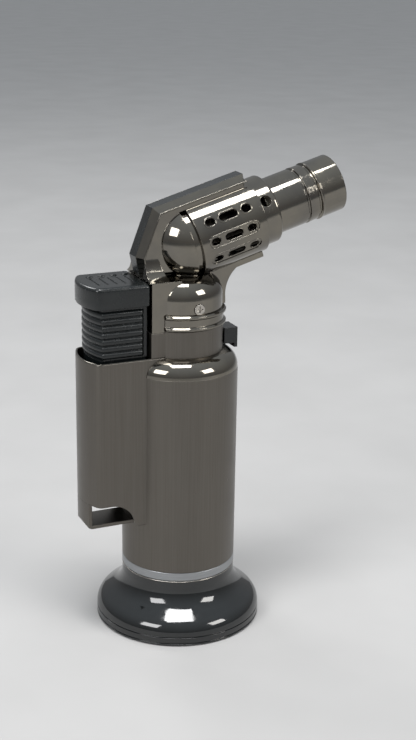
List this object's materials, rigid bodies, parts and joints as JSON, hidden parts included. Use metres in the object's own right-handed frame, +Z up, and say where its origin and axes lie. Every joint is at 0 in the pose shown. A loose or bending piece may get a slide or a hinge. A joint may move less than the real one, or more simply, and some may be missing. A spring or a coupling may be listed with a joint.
{
  "type": "butane torch",
  "caption": "Hand-held refillable butane torch with a tilted vented barrel, push trigger, flow lever and lanyard loop, on a round stand.",
  "frame": {"origin": "centre of the refill hole in the stand's underside, in the plane that the stand rests on", "axes": "+Z up along the tank, +X towards the flame, Y across; the head and barrel are symmetric about the plane Y = 0"},
  "size_m": [0.0824, 0.05, 0.1392],
  "materials": {
    "stand_plastic": "glossy black moulding",
    "collar_metal": "satin grey ring",
    "tank_plastic": "smoked translucent moulding",
    "seal_rubber": "matt",
    "brass": "turned",
    "spring_steel": "drawn wire",
    "black_plastic": "semi-gloss black with fine scratches",
    "gunmetal": "satin gunmetal plating, brushed lengthwise",
    "black_chrome": "polished black-nickel plating",
    "screw_steel": "bright nickel",
    "burner_steel": "heat-tinted stainless steel",
    "zinc": "bare die-cast zinc",
    "hose_rubber": "flexible hose",
    "ceramic": "unglazed ceramic",
    "lead_plastic": "insulated lead",
    "piezo_plastic": "moulded igniter case"
  },
  "bodies": {
    "torch": {"base_stand": "stand_plastic", "base_plate": "stand_plastic", "base_collar": "collar_metal", "fuel_tank": "tank_plastic", "tank_seal": "seal_rubber", "tank_lid": "tank_plastic", "fill_valve_body": "brass", "fill_valve_seal": "seal_rubber", "fill_valve_spring": "spring_steel", "outlet_valve_body": "brass", "valve_spring": "spring_steel", "body_sleeve": "gunmetal", "housing_liner": "black_plastic", "lanyard_loop": "gunmetal", "shoulder_cap": "black_chrome", "neck_band": "gunmetal", "neck_ring": "black_chrome", "head_shell_left": "black_chrome", "head_shell_right": "black_chrome", "head_spine": "black_plastic", "head_screws": "screw_steel", "barrel_sleeve": "black_chrome", "air_collar": "black_chrome", "nozzle_tube": "black_chrome", "flame_tube": "burner_steel", "flame_holder": "brass", "burner_spacer": "burner_steel", "mixing_tube": "burner_steel", "jet_holder": "zinc", "jet_nozzle": "brass", "gas_hose": "hose_rubber", "electrode_insulator": "ceramic", "electrode_wire": "burner_steel", "ignition_lead": "lead_plastic", "piezo_case": "piezo_plastic", "piezo_element": "ceramic", "piezo_spring": "spring_steel", "lever_pin": "spring_steel"},
    "trigger": {"trigger_button": "black_plastic", "piezo_plunger": "piezo_plastic"},
    "gas_rocker": {"gas_lever": "zinc"},
    "outlet_stem": {"outlet_valve_stem": "brass"},
    "flow_adjuster": {"flow_lever": "black_plastic"},
    "fill_stem": {"fill_valve_stem": "brass"}
  },
  "joints": [
    {"name": "trigger_press", "type": "slide", "parent": "torch", "child": "trigger", "axis": [0, 0, -1], "range_m": [0, 0.006], "stiffness_N_per_m": 900, "springref_m": -0.002, "deforming": ["piezo_spring"]},
    {"name": "gas_rocker_turn", "type": "hinge", "parent": "torch", "child": "gas_rocker", "pos_m": [-0.008, 0, 0.1], "axis": [0, -1, 0], "range_deg": [0, 5.8]},
    {"name": "outlet_valve_lift", "type": "slide", "parent": "torch", "child": "outlet_stem", "axis": [0, 0, 1], "range_m": [0, 0.00082], "deforming": ["valve_spring"]},
    {"name": "flow_adjust", "type": "hinge", "parent": "torch", "child": "flow_adjuster", "pos_m": [0, 0, 0.087], "axis": [0, 0, 1], "range_deg": [-20, 20]},
    {"name": "fill_valve_press", "type": "slide", "parent": "torch", "child": "fill_stem", "axis": [0, 0, 1], "range_m": [0, 0.0015], "stiffness_N_per_m": 800, "springref_m": -0.001, "deforming": ["fill_valve_spring"]}
  ],
  "couplings": [
    {"joint": "gas_rocker_turn", "follows": "trigger_press", "rad_per_m": 16.667},
    {"joint": "outlet_valve_lift", "follows": "trigger_press", "ratio": 0.13333}
  ]
}
